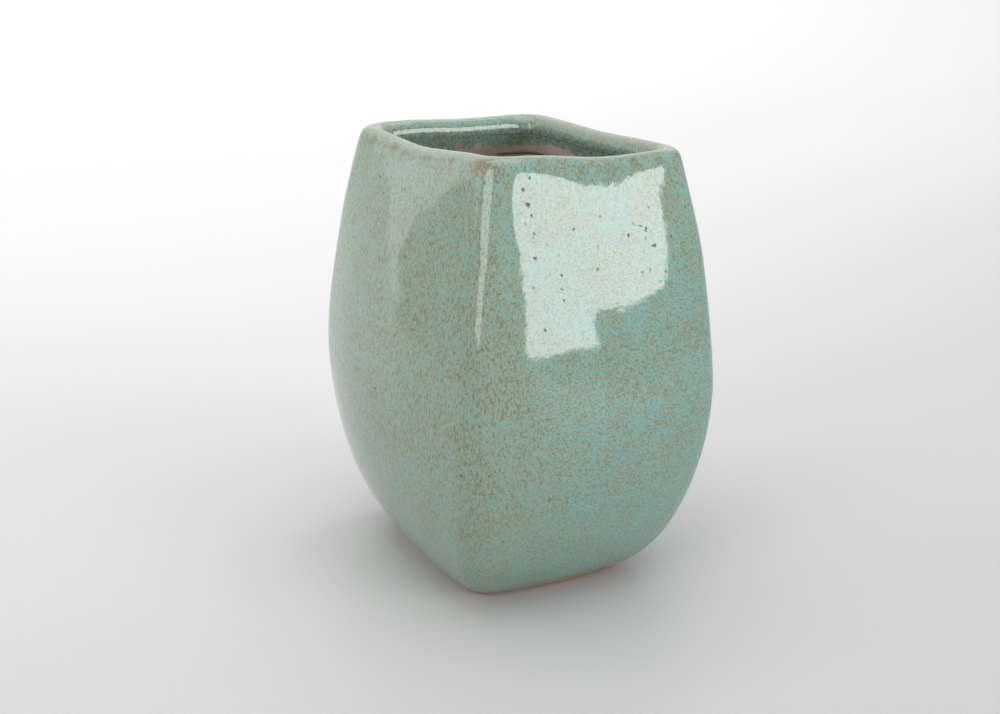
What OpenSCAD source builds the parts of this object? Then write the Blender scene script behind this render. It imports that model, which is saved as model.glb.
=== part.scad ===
// Soft-square brush holder pot in glazed stoneware. Millimetres, +Z up.
// The origin is the centre of the flat underside. X and Y run square to the four
// sides at half height. From foot to lip the wall twists a little and leans to +X.

/* [Size] */
// Mean height of the lip above the surface the pot stands on
pot_h = 130; // [110:1:150]
// Width along X where the wall leaves the foot
foot_w = 54; // [52:1:60]
// Width along X across the belly
belly_w = 94.7; // [88:0.1:100]
// Width along X across the lip
lip_w = 68.7; // [64:0.1:76]
// Depth along Y for each millimetre of width along X
depth_ratio = 1.2; // [1:0.05:1.3]

/* [Profile] */
// Height of the widest level
belly_h = 58.6; // [52:0.2:66]
// Slope of the wall as it leaves the foot, in degrees above level
foot_slope = 38; // [30:1:50]
// Reach of the curve that leaves the foot
foot_reach = 19; // [14:0.5:24]
// Reach of the curve that arrives at the belly from below
belly_reach = 18; // [10:1:22]
// Reach of the curve that leaves the belly upwards
shoulder_reach = 20; // [10:0.5:26]
// Inward lean of the wall at the lip, in degrees from upright
lip_lean = 36; // [10:1:40]
// Reach of the curve that arrives at the lip
lip_reach = 5.2; // [3:0.2:20]

/* [Section] */
// Radius of the four upright corners
corner_r = 8; // [6:0.5:12]
// Outward bow of the sides at the foot, as the angle half a side turns through
foot_bow = 7; // [3:0.5:14]
// The same at half height
belly_bow = 14; // [4:0.5:16]
// The same at the lip
lip_bow = 1.5; // [1:0.5:8]

/* [Handwork] */
// Turn of the lip against the foot, in degrees
twist = 6.3; // [-10:0.1:10]
// Sideways lean of the lip along X
lean_x = 3.8; // [-5:0.1:5]
// Sideways lean of the lip along Y
lean_y = 1.9; // [-5:0.1:5]
// Lift of the lip at the corners, and equal drop at mid side
corner_lift = 0.5; // [0:0.1:2]
// Tilt of the lip
lip_tilt = 0.8; // [0:0.1:2]
// Direction of the high side of that tilt
lip_tilt_dir = 144; // [-180:1:180]
// Two-lobed waver of the lip
lip_sway = 0.4; // [0:0.1:1.5]
// Phase of that waver
lip_sway_dir = 138; // [-180:1:180]
// Three-lobed waver of the lip
lip_wander = 0.5; // [0:0.1:1.5]
// Phase of that waver
lip_wander_dir = -22; // [-180:1:180]

/* [Clay and glaze] */
// Thickness of the wall
wall_t = 6; // [5:0.5:7]
// Thickness of the bottom slab
slab_t = 7; // [6.5:0.5:9]
// Width of the bottom slab along X
slab_w = 51; // [44:1:51]
// Gap between the wall's lower edge and the surface the pot stands on
foot_lift = 0.8; // [0.4:0.1:1.5]
// Thickness of the glaze
glaze_t = 0.5; // [0.3:0.1:0.8]
// Share of the lower curve that stays bare above the foot
bare_share = 0.03; // [0.02:0.01:0.1]
// Share of the upper curve that the inner glaze band reaches down
band_share = 0.25; // [0.15:0.01:0.5]

/* [Hidden] */

side_n = 5;        // steps along half a side
corner_n = 6;      // steps round a corner
lower_n = 12;      // steps up the lower curve
upper_n = 9;       // steps up the upper curve
lip_n = 6;         // steps over the lip
band_n = 3;        // steps down the inner band
inner_n = 13;      // steps down the rest of the inside
quarter_n = 2 * side_n + corner_n;
ring_n = 4 * quarter_n;
lip_r = wall_t / 2;            // the lip is a full round
inner_corner_ease = 0.6;       // corners soften inwards: radius lost per millimetre of inset
inner_from = 0.06;             // share of the lower curve where the inside meets the slab

// Value at height share u of a smooth curve through three values at 0, 1/2 and 1
function through(low, mid, high, u) =
    low * (1 - u) * (1 - 2 * u) + mid * 4 * u * (1 - u) + high * u * (2 * u - 1);

// Point and unit outward normal of a cubic curve at share t
function curve(p, t) =
    pow(1 - t, 3) * p[0] + 3 * pow(1 - t, 2) * t * p[1] + 3 * (1 - t) * t * t * p[2] + pow(t, 3) * p[3];
function curve_dir(p, t) =
    pow(1 - t, 2) * (p[1] - p[0]) + 2 * (1 - t) * t * (p[2] - p[1]) + t * t * (p[3] - p[2]);
function outward(p, t) =
    let(d = curve_dir(p, t))
    [d[1], -d[0]] / norm(d);

// Profile of the wall's outside as half width and height: foot to belly, belly to lip
foot_point = [foot_w / 2, foot_lift];
belly_point = [belly_w / 2, belly_h];
lip_point = [lip_w / 2 - lip_r + lip_r * cos(lip_lean), pot_h - lip_r + lip_r * sin(lip_lean)];
lower = [
    foot_point,
    foot_point + foot_reach * [cos(foot_slope), sin(foot_slope)],
    belly_point - [0, belly_reach],
    belly_point
];
upper = [
    belly_point,
    belly_point + [0, shoulder_reach],
    lip_point + lip_reach * [sin(lip_lean), -cos(lip_lean)],
    lip_point
];

// A station is [half width of the outside, height, inset from the outside, level].
// The level is the height that sets bow, twist and lean.
function wall_station(p, t, off) =
    let(at = curve(p, t), n = outward(p, t), z = at[1] + off * n[1])
    [at[0], z, -off * n[0], z];
function lip_station(ang, off) =
    let(z = pot_h - lip_r + (lip_r + off) * sin(ang))
    [lip_w / 2, z, lip_r - (lip_r + off) * cos(ang), z];
function slab_station(z) = [slab_w / 2, z, 0, 0];

// A soft square: bowed sides joined by round corners, counter-clockwise from +X
function soft_square(a, b, r, bow) =
    let(
        s = sin(bow),
        c = 1 - cos(bow),
        rx = ((b - r) * s - (a - r) * c) / (s * s - c * c),
        ry = ((a - r) * s - (b - r) * c) / (s * s - c * c),
        quarter = concat(
            [for (i = [0 : side_n - 1])
                let(t = bow * i / side_n)
                [a - r - rx + (rx + r) * cos(t), (rx + r) * sin(t)]],
            [for (i = [0 : corner_n - 1])
                let(t = bow + (90 - 2 * bow) * i / corner_n)
                [a - r - rx * c + r * cos(t), rx * s + r * sin(t)]],
            [for (i = [0 : side_n])
                let(t = 90 - bow + bow * i / side_n)
                [(ry + r) * cos(t), b - r - ry + (ry + r) * sin(t)]]
        )
    )
    concat(
        [for (i = [0 : quarter_n - 1]) quarter[i]],
        [for (i = [quarter_n : -1 : 1]) [-quarter[i][0], quarter[i][1]]],
        [for (i = [0 : quarter_n - 1]) -quarter[i]],
        [for (i = [quarter_n : -1 : 1]) [quarter[i][0], -quarter[i][1]]]
    );

// Outline of a station before it is turned and leaned
function outline(st) =
    soft_square(
        st[0] - st[2],
        depth_ratio * st[0] - st[2],
        corner_r - inner_corner_ease * st[2],
        through(foot_bow, belly_bow, lip_bow, st[3] / pot_h)
    );

// Rise of the lip in direction ang
function lip_rise(ang) =
    lip_tilt * cos(ang - lip_tilt_dir)
    + lip_sway * cos(2 * ang - lip_sway_dir)
    + lip_wander * cos(3 * ang - lip_wander_dir)
    - corner_lift * cos(4 * ang);

// Turn of the section at a level
function turn(level) = twist * (level / pot_h - 0.5);

// Ring of points at a station
function ring(st) =
    let(u = st[3] / pot_h, a = turn(st[3]))
    [for (p = outline(st))
        [
            p[0] * cos(a) - p[1] * sin(a) + lean_x * u,
            p[0] * sin(a) + p[1] * cos(a) + lean_y * u,
            st[1] + lip_rise(atan2(p[1] / depth_ratio, p[0])) * u * u
        ]];

// Closed band of clay or glaze whose cross section runs through the stations
module band(stations) {
    n = len(stations);
    points = [for (st = stations, p = ring(st)) p];
    faces = [
        for (i = [0 : n - 1], j = [0 : ring_n - 1])
            let(
                i2 = (i + 1) % n,
                j2 = (j + 1) % ring_n,
                a = i * ring_n + j,
                b = i2 * ring_n + j,
                c = i2 * ring_n + j2,
                d = i * ring_n + j2
            )
            each [[a, b, c], [a, c, d]]
    ];
    polyhedron(points, faces);
}

function steps(first, last, n) = [for (i = [0 : n]) first + (last - first) * i / n];
function reverse(list) = [for (i = [len(list) - 1 : -1 : 0]) list[i]];

// Stations up the glazed outside from the bare foot to just under the lip,
// those over the lip, and those down the inner band
function outside(off) = concat(
    [for (t = steps(bare_share, 1, lower_n)) wall_station(lower, t, off)],
    [for (i = [1 : upper_n - 1]) wall_station(upper, i / upper_n, off)],
    [lip_station(lip_lean, off)]
);
function over_lip(off) = [for (ang = steps(lip_lean, lip_lean + 180, lip_n)) lip_station(ang, off)];
function inside_band(off) = concat(
    [lip_station(lip_lean + 180, off)],
    [for (i = [1 : band_n]) wall_station(upper, 1 - band_share * i / band_n, -wall_t - off)]
);
function below_band() = concat(
    [for (t = steps(1 - band_share, 0, inner_n)) if (t < 1 - band_share) wall_station(upper, t, -wall_t)],
    [for (t = steps(1, inner_from, inner_n)) if (t < 1) wall_station(lower, t, -wall_t)]
);

// Thrown wall, pressed square: it wraps round the slab's edge and ends in the round lip
module stoneware_wall() {
    color("rosybrown")
        band(concat(
            [slab_station(foot_lift), wall_station(lower, 0, 0)],
            outside(0),
            [for (i = [1 : lip_n]) over_lip(0)[i]],
            [for (i = [1 : band_n]) inside_band(0)[i]],
            below_band(),
            [slab_station(slab_t)]
        ));
}

// Flat slab that closes the bottom; its underside is the only face on the table
module bottom_slab() {
    color("sienna")
        rotate(turn(0))
            linear_extrude(slab_t)
                polygon(outline(slab_station(0)));
}

// Speckled green glaze over the whole outside, down to the bare line at the foot
module outer_glaze() {
    color("darkseagreen")
        band(concat(outside(glaze_t), reverse(outside(0))));
}

// Thin greyer glaze over the rounded lip
module lip_glaze() {
    color("tan")
        band(concat(over_lip(glaze_t), reverse(over_lip(0))));
}

// Glaze run a finger's width down the inside
module inner_glaze_band() {
    color("cadetblue")
        band(concat(inside_band(glaze_t), reverse(inside_band(0))));
}

stoneware_wall();
bottom_slab();
outer_glaze();
lip_glaze();
inner_glaze_band();
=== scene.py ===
import math

import bpy
import numpy as np
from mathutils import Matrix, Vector, noise


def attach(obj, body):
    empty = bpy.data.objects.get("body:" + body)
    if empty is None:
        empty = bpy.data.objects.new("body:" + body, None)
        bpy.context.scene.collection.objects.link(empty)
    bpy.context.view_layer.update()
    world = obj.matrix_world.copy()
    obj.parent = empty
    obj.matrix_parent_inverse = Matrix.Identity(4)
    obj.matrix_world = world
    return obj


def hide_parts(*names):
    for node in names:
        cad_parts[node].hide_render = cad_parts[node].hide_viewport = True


# Soft-square brush pot in glazed stoneware. Everything is in metres, in the frame's own
# axes: foot centre at the origin, Z up, sides square to X and Y at half height.

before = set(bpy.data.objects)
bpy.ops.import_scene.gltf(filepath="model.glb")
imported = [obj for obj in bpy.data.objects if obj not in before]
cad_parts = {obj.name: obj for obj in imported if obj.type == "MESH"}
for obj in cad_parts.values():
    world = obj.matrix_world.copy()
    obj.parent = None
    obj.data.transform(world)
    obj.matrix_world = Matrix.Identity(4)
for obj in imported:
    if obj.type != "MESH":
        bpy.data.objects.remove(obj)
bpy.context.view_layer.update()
mm = 0.001

# The pot's own dimensions in millimetres and degrees, the same ones the solids are cut to
pot = {
    "height": 130.0,            # mean height of the lip
    "footWidth": 54.0,          # along X, where the wall leaves the foot
    "bellyWidth": 94.7,
    "lipWidth": 68.7,
    "depthRatio": 1.2,          # depth along Y for each millimetre along X
    "footLift": 0.8,            # gap between the wall's edge and the table
    "bellyHeight": 58.6,
    "footSlope": 38.0,
    "footReach": 19.0,
    "bellyReach": 18.0,
    "shoulderReach": 20.0,
    "lipLean": 36.0,
    "lipReach": 5.2,
    "cornerRadius": 8.0,
    "cornerEase": 0.6,          # corner radius lost per millimetre of inset
    "bow": (7.0, 14.0, 1.5),    # outward bow of the sides at foot, half height and lip
    "twist": 6.3,
    "lean": (3.8, 1.9),
    "lipTilt": (0.8, 144.0),    # waves of the lip: amount and direction
    "lipSway": (0.4, 138.0),
    "lipWander": (0.5, -22.0),
    "cornerLift": 0.5,
    "wall": 6.0,
    "slabThickness": 7.0,
    "slabWidth": 51.0,
    "glaze": 0.5,
    "bareShare": 0.03,          # share of the lower curve left bare above the foot
    "bandShare": 0.25,          # share of the upper curve that the inner band reaches down
    "insideFrom": 0.06,         # share of the lower curve where the inside meets the slab
}

# What hands and fire do to the smooth shape, in millimetres
handwork = {
    "around": 360,              # points round each ring
    "finer": 4,                 # points softened for each one that is kept
    "dents": 0.42,              # broad pressing marks
    "dentSize": 36.0,
    "dentShift": (3.1, 7.7, 1.3),
    "ripples": 0.05,            # small unevenness that bends reflections
    "rippleSize": 9.0,
    "calmUpTo": 1.0,            # the marks start at this height and are full after the fade
    "calmFade": 16.0,
    "cornerBlend": 2.0,         # how softly the sides run into the corners
    "curveSteps": 80,           # points along each side and corner before they are spaced evenly
    "lipWipe": (170.0, 16.5, 0.20),     # flat left by a finger inside the lip: angle, spread, depth
}

lipRadius = pot["wall"] / 2


# Sections and rings of the pot, in millimetres

def through(values, u):
    low, mid, high = values
    return low * (1 - u) * (1 - 2 * u) + mid * 4 * u * (1 - u) + high * u * (2 * u - 1)


def heading(degrees):
    return np.array([math.cos(math.radians(degrees)), math.sin(math.radians(degrees))])


footPoint = np.array([pot["footWidth"] / 2, pot["footLift"]])
bellyPoint = np.array([pot["bellyWidth"] / 2, pot["bellyHeight"]])
lipCentre = np.array([pot["lipWidth"] / 2 - lipRadius, pot["height"] - lipRadius])
lipPoint = lipCentre + lipRadius * heading(pot["lipLean"])
lowerCurve = (
    footPoint,
    footPoint + pot["footReach"] * heading(pot["footSlope"]),
    bellyPoint - [0, pot["bellyReach"]],
    bellyPoint,
)
upperCurve = (
    bellyPoint,
    bellyPoint + [0, pot["shoulderReach"]],
    lipPoint - pot["lipReach"] * heading(pot["lipLean"] + 90),
    lipPoint,
)


# A station is (half width of the outside, height, inset from the outside, level)
def wallStation(curve, t, off):
    a, b, c, d = curve
    at = (1 - t) ** 3 * a + 3 * (1 - t) ** 2 * t * b + 3 * (1 - t) * t * t * c + t ** 3 * d
    along = (1 - t) ** 2 * (b - a) + 2 * (1 - t) * t * (c - b) + t * t * (d - c)
    outX, outZ = along[1] / np.hypot(*along), -along[0] / np.hypot(*along)
    z = at[1] + off * outZ
    return (at[0], z, -off * outX, z)


def shoulderStation(t, off):
    # near the lip the ring is measured from the lip's own width, so that it meets the lip's rings
    halfWidth, z, inset, level = wallStation(upperCurve, t, off)
    share = min(max(2 * t - 1, 0.0), 1.0)
    widen = (pot["lipWidth"] / 2 - halfWidth) * share * share * (3 - 2 * share)
    return (halfWidth + widen, z, inset + widen, level)


def lipStation(angle, off):
    across, up = (lipRadius + off) * heading(angle)
    z = lipCentre[1] + up
    return (pot["lipWidth"] / 2, z, lipRadius - across, z)


def slabStation(z):
    return (pot["slabWidth"] / 2, z, 0.0, 0.0)


def outline(station):
    # bowed sides joined by round corners, then softened so that they run into each other
    halfWidth, z, inset, level = station
    a = halfWidth - inset
    b = pot["depthRatio"] * halfWidth - inset
    r = pot["cornerRadius"] - pot["cornerEase"] * inset
    bow = math.radians(through(pot["bow"], level / pot["height"]))
    s, c = math.sin(bow), 1 - math.cos(bow)
    rx = ((b - r) * s - (a - r) * c) / (s * s - c * c)
    ry = ((a - r) * s - (b - r) * c) / (s * s - c * c)
    steps = handwork["curveSteps"]
    t1 = np.linspace(0, bow, steps)[:-1]
    t2 = np.linspace(bow, math.pi / 2 - bow, steps)[:-1]
    t3 = np.linspace(math.pi / 2 - bow, math.pi / 2, steps)
    x = np.concatenate([
        a - r - rx + (rx + r) * np.cos(t1),
        a - r - rx * c + r * np.cos(t2),
        (ry + r) * np.cos(t3),
    ])
    y = np.concatenate([
        (rx + r) * np.sin(t1),
        rx * s + r * np.sin(t2),
        b - r - ry + (ry + r) * np.sin(t3),
    ])
    x = np.concatenate([x[:-1], -x[:0:-1], -x[:-1], x[:0:-1]])
    y = np.concatenate([y[:-1], y[:0:-1], -y[:-1], -y[:0:-1]])
    x, y = np.append(x, x[0]), np.append(y, y[0])
    run = np.concatenate([[0], np.cumsum(np.hypot(np.diff(x), np.diff(y)))])
    fine = handwork["finer"] * handwork["around"]
    even = np.arange(fine) * run[-1] / fine
    turnsPer = np.fft.fftfreq(fine, 1 / fine) * handwork["cornerBlend"] / run[-1]
    soften = np.exp(-2 * (math.pi * turnsPer) ** 2)
    smooth = np.fft.ifft(np.fft.fft(np.interp(even, run, x) + 1j * np.interp(even, run, y)) * soften)
    kept = smooth[::handwork["finer"]]
    return kept.real, kept.imag


def lipRise(angle):
    rise = -pot["cornerLift"] * np.cos(4 * angle)
    for lobes, wave in ((1, "lipTilt"), (2, "lipSway"), (3, "lipWander")):
        amount, toward = pot[wave]
        rise = rise + amount * np.cos(lobes * angle - math.radians(toward))
    return rise


def ring(station):
    x, y = outline(station)
    u = station[3] / pot["height"]
    turn = math.radians(pot["twist"] * (u - 0.5))
    rise = lipRise(np.arctan2(y / pot["depthRatio"], x)) * u * u
    return np.stack([
        x * math.cos(turn) - y * math.sin(turn) + pot["lean"][0] * u,
        x * math.sin(turn) + y * math.cos(turn) + pot["lean"][1] * u,
        station[1] + rise,
    ], axis=1)


def gridNormals(grid):
    around = np.roll(grid, -1, axis=1) - np.roll(grid, 1, axis=1)
    step = np.diff(grid, axis=0)
    size = np.linalg.norm(step, axis=2, keepdims=True)
    inner = step[:-1] * size[1:] / size[:-1] + step[1:] * size[:-1] / size[1:]
    normals = np.cross(around, np.concatenate([step[:1], inner, step[-1:]]))
    return normals / np.linalg.norm(normals, axis=2, keepdims=True)


def worked(grid, normals):
    # the same marks run through clay and glaze alike and die out towards the foot
    out = grid.copy()
    shift = Vector(handwork["dentShift"])
    for i, j in np.ndindex(grid.shape[:2]):
        at = Vector(grid[i, j])
        keep = min(max((at.z - handwork["calmUpTo"]) / handwork["calmFade"], 0.0), 1.0)
        push = handwork["dents"] * noise.noise(at / handwork["dentSize"] + shift)
        push += handwork["ripples"] * noise.noise(at / handwork["rippleSize"])
        out[i, j] += normals[i, j] * push * keep * keep * (3 - 2 * keep)
    return out


def skin(stations):
    plain = np.array([ring(station) for station in stations])
    return worked(plain, gridNormals(plain))


def lipRun(stations):
    # length along the section from the crest of the lip, counted down the outside
    flat = np.array([(w - inset, z) for w, z, inset, level in stations])
    run = np.concatenate([[0], np.cumsum(np.hypot(*np.diff(flat, axis=0).T))])
    return run[flat[:, 1].argmax()] - run


def addBody(name, rings, belowLip=None, shown=None, centres=None):
    # rings joined in order; closed round on itself, or at both ends by centre points.
    # shown holds the smooth normals of the first rings, the ones that are seen
    count, around = rings.shape[:2]
    index = np.arange(count * around).reshape(count, around)
    nextAround = np.roll(index, -1, axis=1)
    quads = np.stack([
        index, nextAround, np.roll(nextAround, -1, axis=0), np.roll(index, -1, axis=0)
    ], axis=2)
    points = rings.reshape(-1, 3)
    if centres is not None:
        quads = quads[:-1]
        points = np.vstack([points, centres])
    faces = quads.reshape(-1, 4).tolist()
    if centres is not None:
        faces += [(len(points) - 2, b, a) for a, b in zip(index[0], nextAround[0])]
        faces += [(len(points) - 1, a, b) for a, b in zip(index[-1], nextAround[-1])]
    mesh = bpy.data.meshes.new(name)
    mesh.from_pydata((points * mm).tolist(), [], faces)
    mesh.polygons.foreach_set("use_smooth", np.ones(len(faces), bool))
    if belowLip is not None:
        run = mesh.attributes.new("belowLip", "FLOAT", "POINT")
        run.data.foreach_set("value", np.repeat(belowLip, around).astype(np.float32))
    if shown is not None:
        whole = np.zeros((count * around, 3))
        whole[:shown.shape[0] * around] = shown.reshape(-1, 3)
        ofLoops = whole[quads.reshape(-1)].reshape(count, around, 4, 3)
        ofLoops[len(shown) - 1:] = 0
        mesh.normals_split_custom_set(ofLoops.reshape(-1, 3).tolist())
    mesh.update()
    piece = bpy.data.objects.new(name, mesh)
    bpy.context.scene.collection.objects.link(piece)
    return piece


def settle(piece, node, material):
    piece.data.materials.append(material)
    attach(piece, "root")
    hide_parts(node)
    print(piece.name, "stands for", node, "with", len(piece.data.vertices), "points")


# Building blocks for the materials of clay and glaze

def put(tree, kind, sockets, output=0, **settings):
    # sockets maps an input to a value or to another node's output
    made = tree.nodes.new(kind)
    for key, value in settings.items():
        setattr(made, key, value)
    for key, value in sockets.items():
        if isinstance(value, bpy.types.NodeSocket):
            tree.links.new(value, made.inputs[key])
        else:
            made.inputs[key].default_value = value
    return made.outputs[output] if len(made.outputs) else None


def placeInMm(tree, stretch=(1, 1, 1), shift=(0, 0, 0)):
    where = put(tree, "ShaderNodeTexCoord", {}, output="Object")
    scaled = put(tree, "ShaderNodeVectorMath",
                 {0: where, 1: [v / mm for v in stretch]}, operation="MULTIPLY")
    return put(tree, "ShaderNodeVectorMath", {0: scaled, 1: shift}, operation="ADD")


def grain(tree, place, perMm, detail=2.0, rough=0.55):
    return put(tree, "ShaderNodeTexNoise", {
        "Vector": place, "Scale": perMm, "Detail": detail, "Roughness": rough
    })


def ease(tree, value, low, high, toLow=0.0, toHigh=1.0):
    return put(tree, "ShaderNodeMapRange", {
        "Value": value, "From Min": low, "From Max": high, "To Min": toLow, "To Max": toHigh
    }, interpolation_type="SMOOTHSTEP")


def calc(tree, what, a, b, c=0.0):
    return put(tree, "ShaderNodeMath", {0: a, 1: b, 2: c}, operation=what)


def mixShare(tree, share, first, second):
    return put(tree, "ShaderNodeMix", {0: share, 2: first, 3: second}, data_type="FLOAT")


def mixColour(tree, share, first, second):
    first, second = [(*c, 1.0) if isinstance(c, tuple) else c for c in (first, second)]
    return put(tree, "ShaderNodeMix", {0: share, 6: first, 7: second}, output=2, data_type="RGBA")


def apart(tree, place, spot):
    return put(tree, "ShaderNodeVectorMath", {0: place, 1: spot}, output=1, operation="DISTANCE")


def newMaterial(name):
    material = bpy.data.materials.new(name)
    material.use_nodes = True
    material.node_tree.nodes.clear()
    return material, material.node_tree


def finishMaterial(tree, colour, height, roughness, bumpDepth):
    bump = put(tree, "ShaderNodeBump", {"Height": height, "Distance": bumpDepth * mm})
    shader = put(tree, "ShaderNodeBsdfPrincipled", {
        "Base Color": colour, "Roughness": roughness, "Normal": bump
    })
    put(tree, "ShaderNodeOutputMaterial", {"Surface": shader})


# Clay: one recipe with the colours of the wall or of the slab

clayGrain = {
    "speckPerMm": 1.4,
    "cloudPerMm": 0.06,
    "bandPerMm": 0.30,
    "bandStretch": (0.25, 0.25, 1.6),
    "paleFrom": (0.38, 0.62),
    "speckFrom": (0.60, 0.72),
    "speckStrength": 0.55,
    "toastedAndLitFrom": (5.5, 3.0),      # height where the toasting and the painted bounce light begin, and where they are full
    "bandHeight": 0.6,
    "roughFrom": (0.3, 0.7),
}
wallLook = {
    "clay": (0.405, 0.330, 0.270),
    "pale": (0.490, 0.410, 0.335),
    "dark": (0.240, 0.185, 0.130),
    # toasted orange foot colour, made brighter than the clay as painted bounce light from the floor
    "toastedAndBounceLit": (0.560, 0.340, 0.180),
    "roughness": (0.55, 0.80),
    "bumpDepth": 0.10,
    "footInsets": (0.35, 0.15, 0.05),       # rings crowd together to round the wall's lower edge
    "footShares": (0.004, 0.010, 0.018),
    "outsideRings": 20,
    "lipRings": 10,
    "insideRings": 55,          # down each of the two curves
    "throwRise": 0.13,          # height of the throwing lines inside, in millimetres
    "throwPitch": 3.6,
    "throwSpan": (16.0, 122.0),     # where they begin and end, counted from the lip's crest
    "throwFade": 12.0,
    "throwWander": (2.2, 30.0),     # how far a line strays, in turns, and over what length
}


def clayLayer(tree, look):
    # cloudy clay with faint turned bands and dark specks, toasted orange and brightened as painted
    # bounce light close to the foot
    place = placeInMm(tree)
    z = put(tree, "ShaderNodeSeparateXYZ", {0: place}, output=2)
    flat = placeInMm(tree, stretch=clayGrain["bandStretch"])
    speck = grain(tree, place, clayGrain["speckPerMm"], 3.0)
    cloud = grain(tree, place, clayGrain["cloudPerMm"], 2.0)
    bands = grain(tree, flat, clayGrain["bandPerMm"], 3.0)
    tone = mixShare(tree, 0.5, cloud, bands)
    specks = ease(tree, speck, *clayGrain["speckFrom"], 0.0, clayGrain["speckStrength"])
    colour = mixColour(tree, ease(tree, tone, *clayGrain["paleFrom"]), look["clay"], look["pale"])
    colour = mixColour(tree, specks, colour, look["dark"])
    # painted bounce light: below the given height the clay turns to the brighter toasted colour
    colour = mixColour(tree, ease(tree, z, *clayGrain["toastedAndLitFrom"]), colour, look["toastedAndBounceLit"])
    height = calc(tree, "MULTIPLY_ADD", bands, clayGrain["bandHeight"], speck)
    roughness = ease(tree, tone, *clayGrain["roughFrom"], *look["roughness"])
    return colour, height, roughness


# Glaze: it changes from side to side, with height and towards the lip

glazeLook = {
    "ground": (0.170, 0.270, 0.190),
    "haze": (0.300, 0.330, 0.245),
    "turquoise": (0.135, 0.385, 0.400),
    "olive": (0.165, 0.135, 0.055),
    "brown": (0.090, 0.065, 0.038),
    "bare": (0.210, 0.130, 0.075),
    "thin": (0.200, 0.195, 0.130),      # where it runs thin over the lip
    "thickLip": (0.0, 41.0, 129.0),     # stretch of the lip left thick and green
    "pitClusters": ((-20.0, -45.0, 112.0), (24.0, -44.0, 108.0)),
    # larger pits one by one: place and radius
    "pits": (
        ((18.6, -37.9, 128.4), 0.75), ((4.4, -38.9, 128.9), 0.60), ((14.4, -38.2, 128.4), 0.50),
        ((-19.1, -42.3, 124.1), 0.70), ((-18.1, -43.4, 120.2), 0.90), ((-17.6, -44.1, 117.4), 0.60),
        ((-19.4, -44.5, 115.6), 0.45), ((-17.2, -45.2, 112.6), 0.55), ((-18.0, -46.9, 106.6), 0.75),
        ((-19.5, -48.6, 99.2), 0.45), ((-11.0, -49.5, 97.8), 0.55), ((-10.8, -50.2, 94.7), 0.45),
        ((-17.3, -51.3, 87.8), 0.60), ((1.9, -46.7, 107.3), 0.45), ((3.9, -44.3, 114.8), 0.50),
        ((14.6, -44.6, 111.9), 0.45), ((17.0, -44.5, 111.0), 0.50), ((19.0, -44.6, 110.2), 0.50),
        ((18.5, -45.5, 107.6), 0.45), ((21.4, -45.9, 105.4), 0.65), ((-38.7, -48.8, 52.5), 0.60),
        ((-42.9, -35.1, 48.6), 0.50), ((-35.0, 26.6, 117.8), 0.55), ((-30.0, 26.0, 96.0), 0.70),
        ((36.0, 14.0, 74.0), 0.75), ((6.0, 54.0, 88.0), 0.70),
    ),
    "bald": ((-27.4, -35.1, 130.5), 4.5),     # where the glaze broke brown at the front corner
    # grain for each millimetre, from the coarse clouds to the fine ground
    "broadPerMm": 0.030,
    "patchPerMm": 0.11,
    "edgePerMm": 0.22,
    "swellPerMm": 0.34,
    "frayPerMm": 0.9,
    "grainPerMm": 1.70,
    "finePerMm": 2.6,
    "runny": 0.42,              # grain is drawn out downwards by this scale where the glaze ran
    "oliveShift": (37.0, 11.0, 53.0),   # keeps the olive grain clear of the turquoise grain
    "warmSide": (26.0, 14.0, 52.0),     # sway of the boundary, then from where and to where it warms
    "warmStreak": 0.75,
    "ranBelowLip": (30.0, 4.0),
    "hazeFrom": (0.35, 0.65),
    "coolFrom": (0.540, 0.680),         # grain values where turquoise and olive specks set in
    "warmFrom": (0.420, 0.560),
    "patchPull": 0.14,
    "coolShare": (0.95, 0.42),          # strength of the specks on the cool and on the warm side
    "warmShare": (0.66, 0.76),
    "calmFoot": (60.0, 20.0, 0.28),     # olive specks weaken between these heights, by this much
    "fray": 1.4,                # millimetres by which the outlines of the pits wander
    "pitsPerMm": 0.34,
    "pitSize": (0.19, 0.10),
    "pitPatch": 0.30,
    "pitFrom": (1.02, 1.06),
    "clusterReach": (20.0, 3.0, 0.34),  # outer and inner reach, and how much likelier pits are there
    "pitCore": 0.4,
    "pitStrength": 0.75,
    "pitRoughness": 0.7,
    "pitSink": -1.6,
    "baldCore": 0.8,
    "baldFrom": (0.38, 0.55),
    "baldStrength": 0.8,
    # lengths below the crest of the lip; those with a minus lie inside the pot
    "lipWander": 7.0,
    "thinOutside": (3.0, 0.0),
    "thinInside": (-6.5, -2.0),
    "thinStrength": 0.55,
    "thickReach": (22.0, 36.0, 0.15),   # the thick stretch of the lip, and what thinness is left there
    "gatherFrom": (2.0, 4.5),
    "gatherTo": (9.0, 5.0),
    "gatherGrain": (0.45, 0.70),
    "gatherStrength": 0.6,
    "insideFrom": (-3.0, -6.0),
    "insideGrain": (0.42, 0.60),
    "insideStrength": 0.22,
    "endStretch": (1, 1, 0.25),
    "endPerMm": 0.35,
    "endWander": 10.0,
    "endFrom": (-5.4, -8.4),
    "roughFrom": (0.35, 0.70),
    "roughness": (0.025, 0.060),
    "bumpDepth": 0.020,
}


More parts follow.
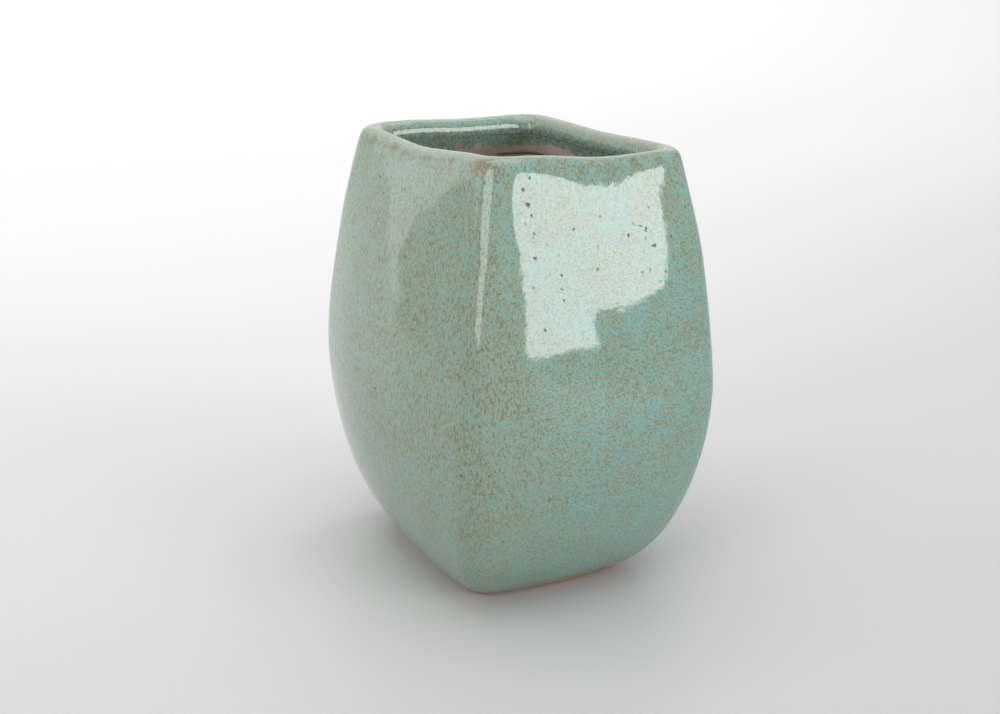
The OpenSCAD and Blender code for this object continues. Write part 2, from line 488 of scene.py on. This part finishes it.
def glazeLayer(tree, look):
    # colour, height and roughness of the speckled glaze
    run = put(tree, "ShaderNodeAttribute", {}, output="Fac", attribute_name="belowLip")
    place = placeInMm(tree)
    away = placeInMm(tree, shift=look["oliveShift"])
    runny = (1, 1, look["runny"])
    drawn = placeInMm(tree, stretch=runny)
    drawnAway = placeInMm(tree, stretch=runny, shift=look["oliveShift"])
    x = put(tree, "ShaderNodeSeparateXYZ", {0: place}, output=0)
    z = put(tree, "ShaderNodeSeparateXYZ", {0: place}, output=2)
    broad = grain(tree, place, look["broadPerMm"], 1.0)
    patch = grain(tree, place, look["patchPerMm"], 2.0)
    sway, warmFrom, warmTo = look["warmSide"]
    warmSide = calc(tree, "MULTIPLY_ADD", broad, sway, calc(tree, "MULTIPLY", x, -1.0))
    warmSide = ease(tree, warmSide, warmFrom, warmTo)
    nearLip = ease(tree, run, *look["ranBelowLip"])
    streaky = calc(tree, "MULTIPLY", warmSide, look["warmStreak"])
    streaky = calc(tree, "MAXIMUM", streaky, nearLip)

    # turquoise and olive specks over a ground that is mottled more finely
    perMm = look["grainPerMm"]
    pull = look["patchPull"]
    cool = mixShare(tree, streaky, grain(tree, place, perMm), grain(tree, drawn, perMm))
    warm = mixShare(tree, streaky, grain(tree, away, perMm), grain(tree, drawnAway, perMm))
    fine = grain(tree, away, look["finePerMm"], 1.0)
    coolSpots = ease(tree, calc(tree, "MULTIPLY_ADD", patch, pull, cool), *look["coolFrom"])
    warmSpots = ease(tree, calc(tree, "MULTIPLY_ADD", patch, -pull, warm), *look["warmFrom"])
    coolShare = mixShare(tree, warmSide, *look["coolShare"])
    warmShare = mixShare(tree, warmSide, *look["warmShare"])
    upper, lower, less = look["calmFoot"]
    warmShare = calc(tree, "SUBTRACT", warmShare, ease(tree, z, upper, lower, 0.0, less))
    colour = mixColour(tree, ease(tree, fine, *look["hazeFrom"]), look["ground"], look["haze"])
    colour = mixColour(tree, calc(tree, "MULTIPLY", coolSpots, coolShare), colour, look["turquoise"])
    colour = mixColour(tree, calc(tree, "MULTIPLY", warmSpots, warmShare), colour, look["olive"])

    # sparse pits, dark, sunken and dull; the noise frays their outlines
    fray = look["fray"]
    stir = {"Vector": place, "Scale": look["frayPerMm"]}
    stir = put(tree, "ShaderNodeTexNoise", stir, output="Color")
    loose = put(tree, "ShaderNodeVectorMath", {0: stir, 1: [fray] * 3, 2: [-fray / 2] * 3},
                operation="MULTIPLY_ADD")
    frayed = put(tree, "ShaderNodeVectorMath", {0: place, 1: loose}, operation="ADD")
    frayedAway = put(tree, "ShaderNodeVectorMath", {0: away, 1: loose}, operation="ADD")
    cells = {"Vector": frayedAway, "Scale": look["pitsPerMm"]}
    toPit = put(tree, "ShaderNodeTexVoronoi", cells)
    pitPick = put(tree, "ShaderNodeTexVoronoi", cells, output="Color")
    pitPick = put(tree, "ShaderNodeSeparateColor", {0: pitPick})
    reach, core, more = look["clusterReach"]
    for cluster in look["pitClusters"]:
        near = ease(tree, apart(tree, place, cluster), reach, core, 0.0, more)
        pitPick = calc(tree, "ADD", pitPick, near)
    picked = calc(tree, "MULTIPLY_ADD", patch, look["pitPatch"], pitPick)
    picked = ease(tree, picked, *look["pitFrom"])
    pitted = calc(tree, "MULTIPLY", ease(tree, toPit, *look["pitSize"]), picked)
    for where, radius in look["pits"]:
        pit = ease(tree, apart(tree, frayed, where), radius, look["pitCore"] * radius)
        pitted = calc(tree, "MAXIMUM", pitted, pit)
    share = calc(tree, "MULTIPLY", pitted, look["pitStrength"])
    colour = mixColour(tree, share, colour, look["brown"])
    where, radius = look["bald"]
    bald = ease(tree, apart(tree, frayed, where), radius, look["baldCore"])
    bald = calc(tree, "MULTIPLY", bald, ease(tree, warm, *look["baldFrom"]))
    share = calc(tree, "MULTIPLY", bald, look["baldStrength"])
    colour = mixColour(tree, share, colour, look["bare"])

    # over the lip the glaze runs thin, and brown gathers just below it
    wander = look["lipWander"]
    edgeNoise = grain(tree, drawn, look["edgePerMm"], 3.0)
    atRun = calc(tree, "MULTIPLY_ADD", edgeNoise, wander, -wander / 2)
    atRun = calc(tree, "ADD", run, atRun)
    thinShare = calc(tree, "MULTIPLY", ease(tree, atRun, *look["thinOutside"]),
                     ease(tree, atRun, *look["thinInside"]))
    core, reach, left = look["thickReach"]
    worn = ease(tree, apart(tree, place, look["thickLip"]), core, reach, left, 1.0)
    thinShare = calc(tree, "MULTIPLY", thinShare, worn)
    share = calc(tree, "MULTIPLY", thinShare, look["thinStrength"])
    colour = mixColour(tree, share, colour, look["thin"])
    gathered = calc(tree, "MULTIPLY", ease(tree, atRun, *look["gatherFrom"]),
                    ease(tree, atRun, *look["gatherTo"]))
    gathered = calc(tree, "MULTIPLY", gathered, ease(tree, edgeNoise, *look["gatherGrain"]))
    share = calc(tree, "MULTIPLY", gathered, look["gatherStrength"])
    colour = mixColour(tree, share, colour, look["olive"])

    # inside, brown shows through a little more
    inside = calc(tree, "MULTIPLY", ease(tree, run, *look["insideFrom"]),
                  ease(tree, warm, *look["insideGrain"]))
    share = calc(tree, "MULTIPLY", inside, look["insideStrength"])
    colour = mixColour(tree, share, colour, look["brown"])

    swell = grain(tree, place, look["swellPerMm"], 3.0, 0.6)
    height = calc(tree, "MULTIPLY_ADD", pitted, look["pitSink"], swell)
    roughness = ease(tree, patch, *look["roughFrom"], *look["roughness"])
    roughness = mixShare(tree, pitted, roughness, look["pitRoughness"])
    return run, colour, height, roughness


def glazeMaterial(name):
    material, tree = newMaterial(name)
    run, colour, height, roughness = glazeLayer(tree, glazeLook)
    if name == "innerGlaze":
        # the glaze gives out in streaks over the clay
        drawn = placeInMm(tree, stretch=glazeLook["endStretch"])
        ragged = grain(tree, drawn, glazeLook["endPerMm"], 3.0, 0.65)
        depth = calc(tree, "MULTIPLY_ADD", ragged, glazeLook["endWander"], run)
        gone = ease(tree, depth, *glazeLook["endFrom"])
        clay, _, clayRoughness = clayLayer(tree, wallLook)
        colour = mixColour(tree, gone, colour, clay)
        roughness = mixShare(tree, gone, roughness, clayRoughness)
    finishMaterial(tree, colour, height, roughness, glazeLook["bumpDepth"])
    return material


# The glaze is laid out as one skin from the foot over the lip to the band inside, then cut in three
glazeRings = {"foot": 6, "lower": 62, "upper": 60, "lip": 40, "band": 28, "hidden": 8}
coat = {
    "bury": 0.05,               # its edges sink this deep into the clay
    "edgeRound": 0.011,         # share of the lower curve taken up by its rounded lower edge
    "footThin": 0.22,           # it was wiped to this share of its thickness just above the foot
    "footFade": 0.14,
    "bandWhole": 0.45,          # share of the inner band that keeps its full thickness
    "lineRise": 0.04,           # highest rise of the glaze line, as a share of the lower curve
    "lineMean": 0.55,
    "lineWaves": ((0.9, 11.0), (0.4, 3.0)),     # amount and length of its waver
    "lineFade": 6,              # rings over which the waver dies out
    "hiddenFoot": 0.006,        # the side against the clay starts this much above the lower edge
    "hiddenBand": 0.9,          # and covers this share of the inner band
}


def footThickness(t):
    share = min((t - pot["bareShare"]) / coat["footFade"], 1.0)
    thin = coat["footThin"]
    return pot["glaze"] * (thin + (1 - thin) * share * share * (3 - 2 * share))


def glazeStations():
    thick, bury = pot["glaze"], coat["bury"]
    bare, edgeRound = pot["bareShare"], coat["edgeRound"]
    foot = []
    for k in range(glazeRings["foot"]):
        swing = heading(90 * k / glazeRings["foot"])
        edge = (footThickness(bare) + bury) * swing[1] - bury
        foot.append(wallStation(lowerCurve, bare + edgeRound * (1 - swing[0]), edge))
    lower = [
        wallStation(lowerCurve, t, footThickness(t))
        for t in np.linspace(bare + edgeRound, 1, glazeRings["lower"])
    ]
    upper = [shoulderStation(t, thick) for t in np.linspace(0, 1, glazeRings["upper"])[1:]]
    # the finger that wiped the lip left its inner side a little flat
    wipedAt, spread, deep = handwork["lipWipe"]
    lip = []
    for a in np.linspace(0, 180, glazeRings["lip"])[1:] + pot["lipLean"]:
        lip.append(lipStation(a, thick - deep * math.exp(-((a - wipedAt) / spread) ** 2 / 2)))
    band = []
    whole = coat["bandWhole"]
    for k in range(1, glazeRings["band"] + 1):
        share = k / glazeRings["band"]
        thins = 1 - min(max((share - whole) / (1 - whole), 0.0), 1.0) ** 2
        off = bury - pot["wall"] - (thick + bury) * thins
        band.append(shoulderStation(1 - pot["bandShare"] * share, off))
    return foot + lower + upper + lip + band


def footWaver(rings):
    # the glaze line at the foot stands a little higher here and lower there
    low, high = [
        ring(wallStation(lowerCurve, pot["bareShare"] + up, 0)) for up in (0, coat["lineRise"])
    ]
    rise = high - low
    for k in range(glazeRings["foot"] + coat["lineFade"]):
        fade = 1 - max(k - glazeRings["foot"], 0) / coat["lineFade"]
        for j, point in enumerate(rings[k]):
            wave = coat["lineMean"]
            for amount, length in coat["lineWaves"]:
                wave += amount * noise.noise(Vector(point) / length)
            rings[k, j] += rise[j] * min(max(wave, 0.0), 1.0) * fade
    return rings


stations = glazeStations()
glazeSkin = footWaver(skin(stations))
glazeNormals = gridNormals(glazeSkin)
glazeRun = lipRun(stations)
outerEnd = glazeRings["foot"] + glazeRings["lower"] + glazeRings["upper"] - 2
lipEnd = outerEnd + glazeRings["lip"] - 1
few = glazeRings["hidden"]
footEnd = pot["bareShare"] + coat["hiddenFoot"]
bandEnd = 1 - coat["hiddenBand"] * pot["bandShare"]
# the sides of the three coats that lie against the clay, each running back to where its coat begins
backs = {
    "outer": [shoulderStation(t, 0) for t in np.linspace(1, 0, 2 * few)]
    + [wallStation(lowerCurve, t, 0) for t in np.linspace(1, footEnd, 2 * few)[1:]],
    "lip": [lipStation(a, 0) for a in np.linspace(180, 0, few) + pot["lipLean"]],
    "band": [shoulderStation(t, -pot["wall"]) for t in np.linspace(bandEnd, 1, few)],
}
glazeCuts = (
    ("outerGlaze", "outer", 0, outerEnd, "outer_glaze", "speckled_glaze"),
    ("lipGlaze", "lip", outerEnd, lipEnd, "lip_glaze", "thin_lip_glaze"),
    ("innerGlaze", "band", lipEnd, len(stations) - 1, "inner_glaze_band", "inner_glaze"),
)
for name, side, first, last, node, slot in glazeCuts:
    hidden = skin(backs[side])
    back = np.linspace(glazeRun[last], glazeRun[first], len(hidden))
    run = np.concatenate([glazeRun[first:last + 1], back])
    piece = addBody(name, np.vstack([glazeSkin[first:last + 1], hidden]), run,
                    shown=glazeNormals[first:last + 1])
    settle(piece, node, glazeMaterial(name))
print("glaze laid over", len(stations), "rings")


# The clay wall under the glaze, bare inside with its throwing lines

def wallStations():
    wall, bare = pot["wall"], pot["bareShare"]
    rim = [slabStation(pot["footLift"])]
    rim += [wallStation(lowerCurve, 0, -v) for v in wallLook["footInsets"]]
    rim += [wallStation(lowerCurve, t, 0) for t in (*wallLook["footShares"], bare, bare + 0.02)]
    count = wallLook["outsideRings"]
    outside = [wallStation(lowerCurve, t, 0) for t in np.linspace(bare + 0.05, 1, count)]
    outside += [shoulderStation(t, 0) for t in np.linspace(0, 1, count)[1:]]
    turn = np.linspace(0, 180, wallLook["lipRings"])[1:] + pot["lipLean"]
    crest = [lipStation(a, 0) for a in turn]
    inUpper = [shoulderStation(t, -wall) for t in np.linspace(1, 0, wallLook["insideRings"])[1:]]
    inLower = [
        wallStation(lowerCurve, t, -wall)
        for t in np.linspace(1, pot["insideFrom"], wallLook["insideRings"])[1:]
    ]
    return rim + outside + crest + inUpper + inLower + [slabStation(pot["slabThickness"])]


stations = wallStations()
wallRings = skin(stations)
wallRun = lipRun(stations)
wallNormals = gridNormals(wallRings)
throwStart, throwEnd = wallLook["throwSpan"]
strays, over = wallLook["throwWander"]
for i, depth in enumerate(-wallRun):
    if throwStart < depth < throwEnd:
        rise = wallLook["throwRise"] * min((depth - throwStart) / wallLook["throwFade"], 1.0)
        for j, point in enumerate(wallRings[i]):
            wander = strays * noise.noise(Vector(point) / over) + j / len(wallRings[i])
            wave = math.sin(2 * math.pi * (point[2] / wallLook["throwPitch"] + wander))
            point += wallNormals[i, j] * wave * rise
clayWall = addBody("clayWall", wallRings, wallRun)
material, tree = newMaterial("bareClay")
colour, height, roughness = clayLayer(tree, wallLook)
finishMaterial(tree, colour, height, roughness, wallLook["bumpDepth"])
settle(clayWall, "stoneware_wall", material)


# The slab that closes the pot at the foot

slabLook = {
    "clay": (0.300, 0.190, 0.120),
    "pale": (0.390, 0.280, 0.200),
    "dark": (0.150, 0.090, 0.060),
    # toasted colour low on the slab, a little brighter, as painted bounce light
    "toastedAndBounceLit": (0.330, 0.215, 0.140),
    "roughness": (0.65, 0.90),
    "bumpDepth": 0.16,
    "edgeRound": 0.7,
    "spiralRise": 0.25,         # height of the finger spiral on the floor of the pot
    "spiralPitch": 5.0,
    "spiralRings": 30,
    "spiralFrom": 0.03,
    "underShares": (0.04, 0.2, 0.4, 0.6, 0.8, 0.92),
    "sideHeights": (2.5, 5.0),
}


def slabRings():
    edge, thick = slabLook["edgeRound"], pot["slabThickness"]
    half = pot["slabWidth"] / 2
    rim = ring(slabStation(0.0))[:, :2]
    rings = []
    for share in slabLook["underShares"]:
        rings.append(np.column_stack([rim * share, np.zeros(len(rim))]))
    for angle in range(-90, 1, 18):
        swing = heading(angle)
        shrink = 1 - edge * (1 - swing[0]) / half
        rings.append(np.column_stack([rim * shrink, np.full(len(rim), edge * (1 + swing[1]))]))
    for height in (*slabLook["sideHeights"], thick):
        rings.append(np.column_stack([rim, np.full(len(rim), height)]))
    turns = np.arctan2(rim[:, 1], rim[:, 0]) / (2 * math.pi)
    for share in np.linspace(1, slabLook["spiralFrom"], slabLook["spiralRings"])[1:]:
        phase = share * half / slabLook["spiralPitch"] - turns
        lift = slabLook["spiralRise"] * np.cos(2 * math.pi * phase) * math.sin(math.pi * share) ** 0.5
        rings.append(np.column_stack([rim * share, thick + lift]))
    return np.array(rings)


footSlab = addBody("footSlab", slabRings(), centres=[(0, 0, 0), (0, 0, pot["slabThickness"])])
material, tree = newMaterial("footClay")
colour, height, roughness = clayLayer(tree, slabLook)
finishMaterial(tree, colour, height, roughness, slabLook["bumpDepth"])
settle(footSlab, "bottom_slab", material)


# Floor, light and camera

# A white sweep lies under the pot and rises behind it; its left edge ends in the dark room
sweep = {
    "left": -0.62,
    "right": 3.2,
    "front": -1.6,
    "bendFrom": 0.72,
    "bendRadius": 0.38,
    "top": 1.6,
    "bendSteps": 16,
    "tone": 0.50,
    "roughness": 0.42,
    "specular": 0.25,
}


def sweepProfile():
    steps = sweep["bendSteps"]
    bend = [heading(90 * k / steps - 90) * sweep["bendRadius"] for k in range(steps + 1)]
    curve = [(sweep["bendFrom"] + x, sweep["bendRadius"] + z) for x, z in bend]
    return [(sweep["front"], 0.0)] + curve + [(curve[-1][0], sweep["top"])]


profile = sweepProfile()
points = [(x, y, z) for y, z in profile for x in (sweep["left"], sweep["right"])]
faces = [(2 * k, 2 * k + 1, 2 * k + 3, 2 * k + 2) for k in range(len(profile) - 1)]
mesh = bpy.data.meshes.new("floor")
mesh.from_pydata(points, [], faces)
mesh.polygons.foreach_set("use_smooth", np.ones(len(faces), bool))
floor = bpy.data.objects.new("floor", mesh)
bpy.context.scene.collection.objects.link(floor)
material, tree = newMaterial("paleFloor")
tone = sweep["tone"]
shader = put(tree, "ShaderNodeBsdfPrincipled", {
    "Base Color": (tone, tone, tone, 1),
    "Roughness": sweep["roughness"],
    "Specular IOR Level": sweep["specular"],
})
put(tree, "ShaderNodeOutputMaterial", {"Surface": shader})
floor.data.materials.append(material)

studio = {
    "ambient": 0.55,
    # lamps above the floor: place, the way they face, size and glow
    "lamps": {
        "backBox": ((0.5, 0.50, 1.1), (0.0, 0.85, -0.50), (3.2, 1.0), 3.65),
        "topBox": ((0.0, -0.05, 0.65), (0.0, 0.0, -1.0), (0.6, 0.6), 1.75),
    },
}

world = bpy.data.worlds.new("studio")
bpy.context.scene.world = world
world.use_nodes = True
ambient = world.node_tree.nodes["Background"]
ambient.inputs["Color"].default_value = (1, 1, 1, 1)
ambient.inputs["Strength"].default_value = studio["ambient"]


def addLamp(name, centre, facing, size, glow):
    # glow is the radiance of the lamp's face
    data = bpy.data.lights.new(name, "AREA")
    data.shape = "RECTANGLE"
    data.size, data.size_y = size
    data.energy = glow * math.pi * size[0] * size[1]
    lamp = bpy.data.objects.new(name, data)
    lamp.location = centre
    lamp.rotation_euler = (-Vector(facing)).to_track_quat("Z", "Y").to_euler()
    bpy.context.scene.collection.objects.link(lamp)
    return lamp


def addPanel(name, eye, bearing, span, rise, distance, glow):
    # upright panel square to the bearing (degrees from -Y towards +X), filling the given
    # span and rise of angles as seen from the eye
    toPanel = Vector((math.sin(math.radians(bearing)), -math.cos(math.radians(bearing)), 0))
    side = Vector((-toPanel.y, toPanel.x, 0))
    across = [distance * math.tan(math.radians(v - bearing)) for v in span]
    up = [distance * math.tan(math.radians(v)) for v in rise]
    centre = Vector(eye) + toPanel * distance + side * sum(across) / 2 + Vector((0, 0, sum(up) / 2))
    addLamp(name, centre, -toPanel, (across[1] - across[0], up[1] - up[0]), glow)


# Window light to the right: a cloth screen whose edges hang a little uneven
windowBox = {
    "glow": 7.9,
    "foot": (0.515, -0.905, 0.0),
    "bearing": 31.0,            # degrees from -Y towards +X
    # outline in metres: across the bearing and up from the floor
    "outline": (
        (-0.389, 0.058), (-0.293, 0.076), (-0.201, 0.085), (-0.097, 0.098), (0.022, 0.133),
        (0.020, 0.182), (0.032, 0.204), (0.158, 0.203), (0.244, 0.196), (0.327, 0.176),
        (0.332, 0.261), (0.349, 0.369), (0.362, 0.460), (0.364, 0.527), (0.330, 0.522),
        (0.302, 0.507), (0.270, 0.490), (0.242, 0.481), (0.200, 0.484), (0.150, 0.495),
        (0.060, 0.512), (-0.060, 0.524), (-0.200, 0.520), (-0.356, 0.496), (-0.400, 0.455),
        (-0.320, 0.400), (-0.245, 0.335), (-0.285, 0.260), (-0.335, 0.190),
    ),
}
# Pale wall to the left; its ragged lower edge shows softly in the glaze
paleWall = {
    "glow": 1.6,
    "foot": (-1.109, 0.880, 0.0),
    "bearing": -130.0,
    "outline": (
        (-1.300, 0.020), (-0.375, 0.020), (-0.400, 0.050), (-0.432, 0.100), (-0.420, 0.130),
        (-0.390, 0.160), (-0.351, 0.208), (-0.325, 0.245), (-0.240, 0.300), (0.000, 0.360),
        (0.700, 0.420), (0.980, 0.700), (0.980, 1.300), (-1.300, 1.300),
    ),
}


def addCloth(name, look):
    # a glowing cloth with an uneven outline, unseen by the camera
    bearing = heading(look["bearing"])
    foot = Vector(look["foot"])
    points = [foot + Vector((bearing[0] * u, bearing[1] * u, up)) for u, up in look["outline"]]
    mesh = bpy.data.meshes.new(name)
    mesh.from_pydata(points, [], [tuple(range(len(points)))])
    cloth = bpy.data.objects.new(name, mesh)
    cloth.visible_camera = False
    bpy.context.scene.collection.objects.link(cloth)
    material, tree = newMaterial(name)
    put(tree, "ShaderNodeOutputMaterial", {
        "Surface": put(tree, "ShaderNodeEmission", {"Strength": look["glow"]})
    })
    cloth.data.materials.append(material)


addCloth("windowBox", windowBox)
addCloth("paleWall", paleWall)
# two narrow boxes on the left draw the bright line along the front corner
strips = {
    "glow": 3.8,
    "eye": (-0.033, -0.043, 0.10),
    "bearing": -70.0,
    "distance": 0.9,
    "spans": (
        ("stripLow", (-84.0, -62.0), (5.0, 16.0)),
        ("stripHigh", (-87.0, -57.0), (16.0, 37.0)),
    ),
}
for name, span, rise in strips["spans"]:
    addPanel(name, strips["eye"], strips["bearing"], span, rise, strips["distance"], strips["glow"])
for name, lamp in studio["lamps"].items():
    addLamp(name, *lamp)

view = {
    "at": (-0.19261, -0.34332, 0.1916),
    "down": 18.11,              # degrees below level
    "turn": 28.97,              # degrees from +Y towards +X
    "lens": 48.22,
    "sensor": 36,
}
cameraData = bpy.data.cameras.new("camera")
cameraData.lens = view["lens"]
cameraData.sensor_width = view["sensor"]
camera = bpy.data.objects.new("camera", cameraData)
camera.location = view["at"]
camera.rotation_euler = (math.radians(90 - view["down"]), 0, -math.radians(view["turn"]))
bpy.context.scene.collection.objects.link(camera)
bpy.context.scene.camera = camera
bpy.context.scene.view_settings.view_transform = "Standard"
print("studio set")
